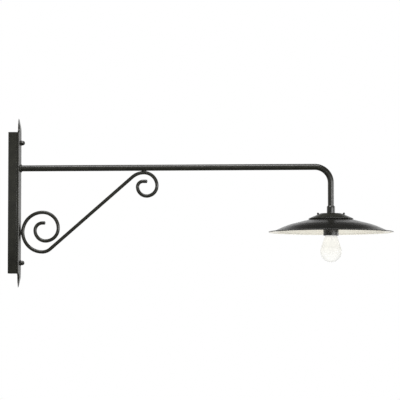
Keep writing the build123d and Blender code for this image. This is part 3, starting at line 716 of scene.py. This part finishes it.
def lathe(name, outline, finishes, turns=144, shape=None, centre=lamp_reach, finish_of=None):
    """Spin a closed outline of radius + 1j*height, in millimetres, into a mesh."""
    points = []
    for step in range(turns):
        angle = 2 * pi * step / turns
        for spot in outline:
            radius = spot.real if shape is None else shape(angle, spot.real, spot.imag)
            points.append(((centre + radius * cos(angle)) * MM, radius * sin(angle) * MM, spot.imag * MM))
    return solid_mesh(name, points, ring_faces(turns, len(outline)), finishes, finish_of=finish_of)


def turned(name, node_name, outline, *finishes, **settings):
    """Turn a piece on the lathe and let it stand for a CAD node."""
    stand_for(name, lathe(name, outline, finishes, **settings), node_name)


# %% Collar
nipple_bore, tube_seat, seat_floor = 5.1, 8.7, -22.1
collar_neck, collar_radius, collar_taper = 10.0, 11.5, 2.5
collar_low, collar_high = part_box("tube_collar")
bottom, top = collar_low.z / MM, collar_high.z / MM
outline = rounded(
    spots(
        (tube_seat, top), (collar_neck, top), (collar_radius, top - collar_taper), (collar_radius, bottom),
        (nipple_bore, bottom), (nipple_bore, seat_floor), (tube_seat, seat_floor),
    ),
    [0.3, 0.6, 0.8, 0.5, 0, 0, 0],
)
turned("turned_collar", "tube_collar", outline, iron_paint)

# %% [markdown]
# ### Cap and shade
# Both are discs of sheet steel, spun over a former. The cap's lip turns down over the shade's crown. The
# shade goes from a low crown through a dome that grows steeper to a narrow brim, and its edge is rolled
# into a bead. Its outer wall is black and its inner wall ivory, and the two enamels meet under the bead.

# %% Cap
cap_top, cap_flat, cap_radius, cap_drop, cap_sheet = -33.0, 30.0, 62.5, 14.0, 1.2
inner_shift = 0.3
cap_edge, cap_under, lip_inside = cap_top - cap_drop, cap_top - cap_sheet, cap_radius - cap_sheet
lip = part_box("shade_cap")[0].z / MM
cap_slope = cap_drop / (cap_radius - cap_flat)
inner_edge = cap_under - (lip_inside - cap_flat) * cap_slope
outline = rounded(
    spots(
        (nipple_bore, cap_top), (cap_flat, cap_top), (cap_radius, cap_edge), (cap_radius, lip),
        (lip_inside, lip), (lip_inside, inner_edge), (cap_flat - inner_shift, cap_under),
        (nipple_bore, cap_under),
    ),
    [0, 5.0, 0.9, 0.35, 0.35, 0.4, 4.0, 0],
)
turned("spun_cap", "shade_cap", outline, iron_paint)

# %% Shade
sheet_half, bead_radius, bead_reach, rim_radius = 0.5, 1.3, 1.2, 173.7
bead_steps, black_steps = 20, 15
# Each row is a corner of the sheet's middle line: radius, drop below the crown, and radius of its bend.
shade_corners = [
    (24.0, 0.0, 0.0),
    (29.4, 0.0, 4.0),
    (67.0, 16.61, 4.0),
    (112.0, 27.83, 120.0),
    (131.0, 34.63, 120.0),
    (160.0, 47.5, 25.0),
]
shade_low, shade_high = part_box("shade")
crown_top = shade_high.z / MM - sheet_half
rim = complex(rim_radius, shade_low.z / MM + bead_radius)
shade_line = rounded(
    [complex(radius, crown_top - drop) for radius, drop, bend in shade_corners] + [rim],
    [bend for radius, drop, bend in shade_corners] + [0],
    closed=False, step=radians(1.5),
)
print("shade crown at", round(crown_top, 2), "rim", rim)


def walls(line, half):
    """The two sides of a sheet: each point of the line, moved square to it both ways."""
    upper, lower = [], []
    for number, spot in enumerate(line):
        along = line[min(number + 1, len(line) - 1)] - line[max(number - 1, 0)]
        square = 1j * along / abs(along)
        upper.append(spot + square * half)
        lower.append(spot - square * half)
    return upper, lower


upper, lower = walls(shade_line, sheet_half)
outward = shade_line[-1] - shade_line[-2]
bead_spoke = outward / abs(outward) * bead_radius
bead_start = phase(complex(-bead_reach, sheet_half))
bead = arc_points(rim, bead_spoke, bead_start, -bead_start, bead_steps)
outline = upper[:-1] + bead + lower[-2::-1]
black_faces = len(upper) - 1 + black_steps
shade_coats = [0] * black_faces + [1] * (len(outline) - black_faces)
turned("enamel_shade", "shade", outline, black_enamel, ivory_enamel, turns=192, finish_of=shade_coats)

# %% [markdown]
# ### Lampholder
# The lampholder is moulded in black phenolic: a short neck, a domed shoulder and a straight skirt that
# hides the bulb's cap. A fine groove marks where the skirt screws onto the shoulder.

# %% Lampholder
holder_neck, holder_radius, skirt_inside = 9.0, 21.5, 19.7
neck_depth, shoulder_drop, dome_height, dome_steps = 5.5, 17.0, 13.0, 14
groove_radius, groove_drop, groove_mouth, groove_floor = 21.0, 3.0, 0.5, 0.2
skirt_start, skirt_ceiling = 1.0, -53.0
holder_low, holder_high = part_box("lampholder_body")
holder_top, holder_bottom = holder_high.z / MM, holder_low.z / MM
shoulder = holder_top - shoulder_drop
groove = shoulder - groove_drop
outline = spots((nipple_bore, holder_top), (holder_neck, holder_top))
for part in range(dome_steps + 1):
    swing = pi / 2 * part / dome_steps
    out = (holder_radius - holder_neck) * sin(swing)
    outline.append(complex(holder_neck + out, shoulder + dome_height * cos(swing)))
outline += spots(
    (holder_radius, groove + groove_mouth), (groove_radius, groove + groove_floor),
    (groove_radius, groove - groove_floor), (holder_radius, groove - groove_mouth),
)
outline += rounded(
    spots(
        (holder_radius, groove - skirt_start), (holder_radius, holder_bottom),
        (skirt_inside, holder_bottom), (skirt_inside, skirt_ceiling),
    ),
    [0, 0.8, 0.7, 0], closed=False,
)
outline += spots((holder_neck, holder_top - neck_depth), (nipple_bore, holder_top - neck_depth))
turned("holder_shell", "lampholder_body", outline, phenolic)

# %% [markdown]
# ### Screw threads
# The bulb's cap and the sleeve that it screws into are rolled from thin sheet with one round thread. The
# rule for a thread is a wave whose crest climbs by one pitch for each turn.

# %% Bulb cap and sleeve
lamp_pitch = 3.629


def lamp_thread(depth, low, high):
    """A rule that rolls a round thread into a wall between two heights."""
    def pull(angle, radius, height):
        start = min(1.0, max(0.0, (height - low) / lamp_pitch))
        end = min(1.0, max(0.0, (high - height) / lamp_pitch))
        wave = 0.5 - 0.5 * cos(2 * pi * (height / lamp_pitch) - angle)
        return radius - depth * start * end * wave
    return pull


def column(radius, top, bottom, gap=0.36):
    """Points down a straight wall."""
    count = max(1, round(abs(top - bottom) / gap))
    return [complex(radius, top + (bottom - top) * part / count) for part in range(count + 1)]


base_radius, base_mouth, base_sheet, base_shoulder = 13.0, 10.5, 0.6, 2.5
base_thread, plain_end = 0.55, 1.5
cap_high, cap_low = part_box("bulb_cap")[1].z / MM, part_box("bulb_cap")[0].z / MM
outline = [complex(base_mouth, cap_high)] + column(base_radius, cap_high - base_shoulder, cap_low)
outline += column(base_radius - base_sheet, cap_low, cap_high - base_shoulder)
outline.append(complex(base_mouth - base_sheet, cap_high))
rule = lamp_thread(base_thread, cap_low + plain_end, cap_high - plain_end)
turned("bulb_cap_thread", "bulb_cap", outline, nickel_plate, turns=96, shape=rule)
sleeve_radius, sleeve_hole, sleeve_sheet = 13.9, 9.0, 0.5
sleeve_thread, sleeve_plain = 0.15, 1.0
sleeve_high, sleeve_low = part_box("screw_shell")[1].z / MM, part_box("screw_shell")[0].z / MM
outline = [complex(sleeve_hole, sleeve_high)] + column(sleeve_radius, sleeve_high, sleeve_low)
outline += column(sleeve_radius - sleeve_sheet, sleeve_low, sleeve_high - sleeve_sheet)
outline.append(complex(sleeve_hole, sleeve_high - sleeve_sheet))
rule = lamp_thread(sleeve_thread, sleeve_low, sleeve_high - sleeve_plain)
turned("sleeve_thread", "screw_shell", outline, turned_brass, turns=96, shape=rule)

# %% [markdown]
# ### The opal bulb
# The bulb is a ball that narrows to its neck along one arc that leaves the ball smoothly. The arc is the
# circle that touches the ball's tangent and passes through the neck.

# %% Bulb glass
glass_low, glass_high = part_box("bulb_glass")
ball_radius, glass_wall, leave_angle = 30.0, 1.0, radians(20)
neck_radius, neck_drop, throat_radius, throat_drop = 14.0, 1.0, 12.2, 0.4
ball_steps, neck_steps = 40, 24
ball_middle = 1j * (glass_low.z / MM + ball_radius)


def glass_line(inset):
    """The bulb's outline from its lowest point to its neck, this far inside the glass."""
    line = arc_points(ball_middle, ball_radius - inset, -pi / 2, leave_angle, ball_steps)
    leave, going = line[-1], 1j * exp(1j * leave_angle)
    neck = complex(neck_radius - inset, cap_low - neck_drop)
    side = 1j * going
    bend = abs(neck - leave) ** 2 / (2 * ((neck - leave) * side.conjugate()).real)
    middle = leave + side * bend
    turn = phase((neck - middle) / (leave - middle))
    return line + arc_points(middle, leave - middle, 0.0, turn, neck_steps)[1:]


outer, inner = glass_line(0.0), glass_line(glass_wall)
top_end, throat_inside = glass_high.z / MM, throat_radius - glass_wall
throat = spots(
    (throat_radius, cap_low - throat_drop), (throat_radius, top_end),
    (throat_inside, top_end), (throat_inside, cap_low - throat_drop - glass_wall),
)
turned("opal_bulb", "bulb_glass", outer + throat + inner[::-1], opal_glass, turns=128)

# %% Contact button of the bulb
button_radius, button_face, button_bend = 4.5, 3.2, 1.0
foot_low, foot_high = (corner.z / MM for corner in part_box("bulb_foot"))
outline = rounded(
    spots((0, foot_low), (button_radius, foot_low), (button_face, foot_high), (0, foot_high)),
    [0, 0, button_bend, 0],
)
turned("contact_button", "bulb_foot", outline, solder, turns=48)

# %% [markdown]
# ## Fixings that repeat
# Four screws hold the shade, four nuts sit under them, and pairs of nuts, washers and studs hold the plate.
# One of each is made, and Geometry Nodes put it on every point of a ring or a row.

# %% Trees for rings and rows
ring_tree, given = new_tree("ring_of_fixings", {
    "Fixing": "NodeSocketObject", "Count": "NodeSocketInt", "Ring Radius": "NodeSocketFloat",
    "Tilt": "NodeSocketFloat", "Middle": "NodeSocketVector", "Finish": "NodeSocketMaterial",
})
ring_size = {"Vertices": given["Count"], "Radius": given["Ring Radius"]}
ring = node(ring_tree, "GeometryNodeMeshCircle", ring_size).outputs[0]
position = node(ring_tree, "GeometryNodeInputPosition").outputs[0]
place = node(ring_tree, "ShaderNodeSeparateXYZ", {0: position}).outputs
facing = node(ring_tree, "ShaderNodeMath", {0: place["Y"], 1: place["X"]}, operation="ARCTAN2").outputs[0]
turning = node(ring_tree, "ShaderNodeCombineXYZ", {"Y": given["Tilt"], "Z": facing}).outputs[0]
one = node(ring_tree, "GeometryNodeObjectInfo", {"Object": given["Fixing"]}).outputs["Geometry"]
copies = {"Points": ring, "Instance": one, "Rotation": turning}
many = node(ring_tree, "GeometryNodeInstanceOnPoints", copies).outputs[0]
move = {"Geometry": many, "Translation": given["Middle"]}
moved = node(ring_tree, "GeometryNodeTransform", move).outputs[0]
end_tree(ring_tree, moved, given["Finish"])

row_tree, given = new_tree("row_of_fixings", {
    "Fixing": "NodeSocketObject", "Count": "NodeSocketInt", "First": "NodeSocketVector",
    "Gap": "NodeSocketVector", "Turn": "NodeSocketVector", "Finish": "NodeSocketMaterial",
})
row_size = {"Count": given["Count"], "Start Location": given["First"], "Offset": given["Gap"]}
row = node(row_tree, "GeometryNodeMeshLine", row_size).outputs[0]
one = node(row_tree, "GeometryNodeObjectInfo", {"Object": given["Fixing"]}).outputs["Geometry"]
copies = {"Points": row, "Instance": one, "Rotation": given["Turn"]}
many = node(row_tree, "GeometryNodeInstanceOnPoints", copies).outputs[0]
end_tree(row_tree, many, given["Finish"])
print("ring tree", len(ring_tree.nodes), "nodes, row tree", len(row_tree.nodes), "nodes")


# %% Rules for hexagons and fine threads
just_inside, thread_share = 0.01, 0.55


def hexagon(flats):
    """A rule that cuts six flats, this far across, into a round part."""
    def pull(angle, radius, height):
        from_flat = (angle + pi / 6) % (pi / 3) - pi / 6
        return min(radius, flats / 2 / cos(from_flat))
    return pull


def fine_thread(outside, pitch, low, high):
    """A rule that cuts a pointed thread into the outside of a rod."""
    def pull(angle, radius, height):
        if radius < outside - just_inside or not low < height < high:
            return radius
        wave = abs((height / pitch - angle / (2 * pi)) % 1 - 0.5) * 2
        return radius - thread_share * pitch * wave
    return pull


def fixings(tree, name, node_name, pattern, **values):
    """Copy one fixing along a tree's points and let the copies stand for a CAD node."""
    single = new_piece("single", pattern)
    mesh = grow(tree, name, Fixing=single, **values)
    bpy.data.objects.remove(single)
    smooth(mesh)
    stand_for(name, mesh, node_name)


# %% Screws and nuts of the shade
screw_count, screw_ring, screw_tilt = 4, 35.5, 0.40672
screw_seat = cap_top - (screw_ring - cap_flat) * cap_slope
screw_radius, screw_point, screw_end, shank_end = 1.9, 1.4, -7.39, -6.9
screw_pitch, thread_low, thread_high, thread_gap = 0.7, -7.0, -3.5, 0.1
head_radius, head_foot, head_steps = 3.0, 2.0, 10
slot_length, slot_half, slot_floor, slot_roof = 4.0, 0.45, 3.6, 6.0
outline = spots((0, screw_end), (screw_point, screw_end))
outline += column(screw_radius, shank_end, 0.0, thread_gap) + [complex(head_radius, 0)]
outline += arc_points(head_foot * 1j, head_radius, 0.0, pi / 2, head_steps)
rule = fine_thread(screw_radius, screw_pitch, thread_low, thread_high)
screw_blank = lathe("screw_pattern", outline, [iron_paint], turns=40, shape=rule, centre=0.0)
slot_corners = [
    (x * slot_length * MM, y * slot_half * MM, z * MM)
    for x in (-1, 1) for y in (-1, 1) for z in (slot_floor, slot_roof)
]
slot_sides = [(0, 1, 3, 2), (4, 6, 7, 5), (0, 4, 5, 1), (2, 3, 7, 6), (0, 2, 6, 4), (1, 5, 7, 3)]
slot_cut = bpy.data.meshes.new("slot_cut")
slot_cut.from_pydata(slot_corners, [], slot_sides)
slot_tool = new_piece("slot_tool", slot_cut)
draft = new_piece("draft", screw_blank)
cutting = draft.modifiers.new("slot", "BOOLEAN")
cutting.object = slot_tool
cutting.operation = "DIFFERENCE"
cutting.solver = "EXACT"
screw_pattern = evaluated(draft, "slotted_screw")
bpy.data.objects.remove(slot_tool)
ring_places = dict(
    Count=screw_count, Ring_Radius=screw_ring * MM, Tilt=screw_tilt,
    Middle=(lamp_reach * MM, 0.0, screw_seat * MM),
)
fixings(ring_tree, "shade_screw_set", "shade_screws", screw_pattern, Finish=iron_paint, **ring_places)
nut_high, nut_low, nut_chamfer = -3.39, -6.39, 0.35
nut_flats, nut_hole, nut_face, nut_corner = 7.0, 2.0, 3.55, 4.1
outline = spots(
    (nut_hole, nut_low), (nut_face, nut_low), (nut_corner, nut_low + nut_chamfer),
    (nut_corner, nut_high - nut_chamfer), (nut_face, nut_high), (nut_hole, nut_high),
)
nut_pattern = lathe("nut_pattern", outline, [zinc_plate], turns=72, shape=hexagon(nut_flats), centre=0.0)
fixings(ring_tree, "shade_nut_set", "shade_nuts", nut_pattern, Finish=zinc_plate, **ring_places)

# %% Domed nuts, washers and studs of the plate
stud_gap = 340.0
washer_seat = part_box("sealing_washers")[0].x / MM
nut_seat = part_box("dome_nuts")[0].x / MM
stud_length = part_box("mounting_studs")[1].x / MM
knob_middle, knob_radius, knob_start, knob_steps = 3.6, 6.4, 0.15, 14
dome_flats = 13.0
outline = spots((4.1, 0), (6.5, 0), (7.5, 0.55), (7.5, 3.8), (6.6, 4.5))
outline += arc_points(knob_middle * 1j, knob_radius, knob_start, pi / 2, knob_steps)
outline += spots((0, 6.9), (4.1, 6.6))
rule = hexagon(dome_flats)
dome_pattern = lathe("dome_pattern", outline, [iron_paint], turns=96, shape=rule, centre=0.0)
outline = rounded(spots((4.5, 0), (8, 0), (8, 1.6), (4.5, 1.6)), [0.2, 0.5, 0.5, 0.2])
washer_pattern = lathe("washer_pattern", outline, [rubber], turns=72, centre=0.0)
stud_radius, stud_point, stud_chamfer = 4.0, 3.4, 0.6
stud_pitch, stud_plain, stud_step = 1.25, 4.0, 0.2
outline = spots((0, 0), (stud_point, 0))
outline += column(stud_radius, stud_chamfer, stud_length - stud_chamfer, stud_step)
outline += spots((stud_point, stud_length), (0, stud_length))
rule = fine_thread(stud_radius, stud_pitch, stud_plain, stud_length)
stud_pattern = lathe("stud_pattern", outline, [zinc_plate], turns=48, shape=rule, centre=0.0)
pair = dict(Count=2, Gap=(0.0, 0.0, stud_gap * MM), Turn=(0.0, pi / 2, 0.0))
low_end = -stud_gap / 2 * MM
for name, node_name, pattern, seat, finish in (
    ("domed_nut_pair", "dome_nuts", dome_pattern, nut_seat, iron_paint),
    ("washer_pair", "sealing_washers", washer_pattern, washer_seat, rubber),
    ("stud_pair", "mounting_studs", stud_pattern, 0.0, zinc_plate),
):
    fixings(row_tree, name, node_name, pattern, First=(seat * MM, 0.0, low_end), Finish=finish, **pair)

# %% [markdown]
# ## Welds
# The tube and the brace are welded on by hand. A weld bead is a row of small overlapping ripples, each one
# a puddle that froze before the next, so the bead's size is waved along its length.

# %% Weld round the arm
ridge_face, plate_slope = 34.0, 3 / 23
weld_leg, weld_fullness = 2.9, 0.8
weld_ripples, weld_low, weld_wave, weld_drift = 22, 0.84, 0.10, 0.06
weld_root, weld_base = arm_radius + 0.1, arm_radius + weld_leg * 0.6
weld_sink, weld_heel = 0.2, 2.0
weld_turns, weld_rows = 208, 9
weld_points = []
for step in range(weld_turns):
    angle = 2 * pi * step / weld_turns
    unsteady = weld_drift * sin(3 * angle + 1)
    ripple = weld_low + weld_wave * abs(sin(weld_ripples * angle / 2)) + unsteady
    section = []
    for row_number in range(weld_rows):
        swing = pi / 2 * row_number / (weld_rows - 1)
        radius = weld_root + weld_leg * ripple * cos(swing) ** weld_fullness
        rise = weld_leg * ripple * sin(swing) ** weld_fullness
        sag = plate_slope * radius * abs(cos(angle))
        section.append((ridge_face - weld_sink - sag + rise, radius))
    section += [(ridge_face - weld_heel, weld_root), (ridge_face - weld_heel, weld_base)]
    for out, radius in section:
        weld_points.append((out * MM, radius * cos(angle) * MM, (arm_height + radius * sin(angle)) * MM))
weld_faces = ring_faces(weld_turns, len(section))
weld_mesh = solid_mesh("arm_weld_bead", weld_points, weld_faces, [iron_paint], angle=60.0)
stand_for("arm_weld_bead", weld_mesh, "arm_weld")

# %% Beads of the brace
brace_touch = -83.0
half_width, half_depth, half_length = 3.2, 3.0, 7.5
bead_rings, bead_sides = 44, 24
bead_ripples, bead_low, bead_wave = 7, 0.88, 0.12
bead_places = (
    (Vector((ridge_face, 0, brace_touch)), "Z"),
    (Vector((arm_weld_at.real, 0, arm_height - arm_radius)), "X"),
)
bead_points, bead_faces = [], []
for middle, long_way in bead_places:
    bead_faces += ring_faces(bead_rings + 1, bead_sides, len(bead_points), closed=False)
    for ring_number in range(bead_rings + 1):
        share = -1 + 2 * ring_number / bead_rings
        ripple = bead_low + bead_wave * abs(sin(bead_ripples * pi * share / 2))
        plump = sqrt(max(0.0, 1 - share * share)) * ripple
        for side_number in range(bead_sides):
            angle = 2 * pi * side_number / bead_sides
            across, deep = half_width * plump * cos(angle), half_depth * plump * sin(angle)
            length = half_length * share
            shift = Vector((deep, across, length)) if long_way == "Z" else Vector((length, across, deep))
            bead_points.append((middle + shift) * MM)
bead_mesh = solid_mesh("brace_weld_beads", bead_points, bead_faces, [iron_paint], angle=60.0)
stand_for("brace_weld_beads", bead_mesh, "scroll_welds")

# %% [markdown]
# ## What stays as the CAD made it
# The last pieces are hidden inside the box, the collar, the lampholder and the bulb's cap. Their CAD shapes
# are right, so each only gets its finish.

# %% Finishes for the hidden pieces
for name, finish in {
    "nipple": zinc_plate, "nipple_nut": zinc_plate, "cap_gasket": rubber, "lampholder_core": porcelain,
    "lampholder_posts": turned_brass, "terminal_tubes": turned_brass, "terminal_screws": zinc_plate,
    "earth_stud": zinc_plate, "tube_grommet": rubber, "live_wire": brown_pvc, "neutral_wire": blue_pvc,
    "earth_wire": green_pvc, "bulb_insulator": vitrite,
}.items():
    frame["nodes"][name].data.materials.clear()
    frame["nodes"][name].data.materials.append(finish)
    print(name, "gets", finish.name)
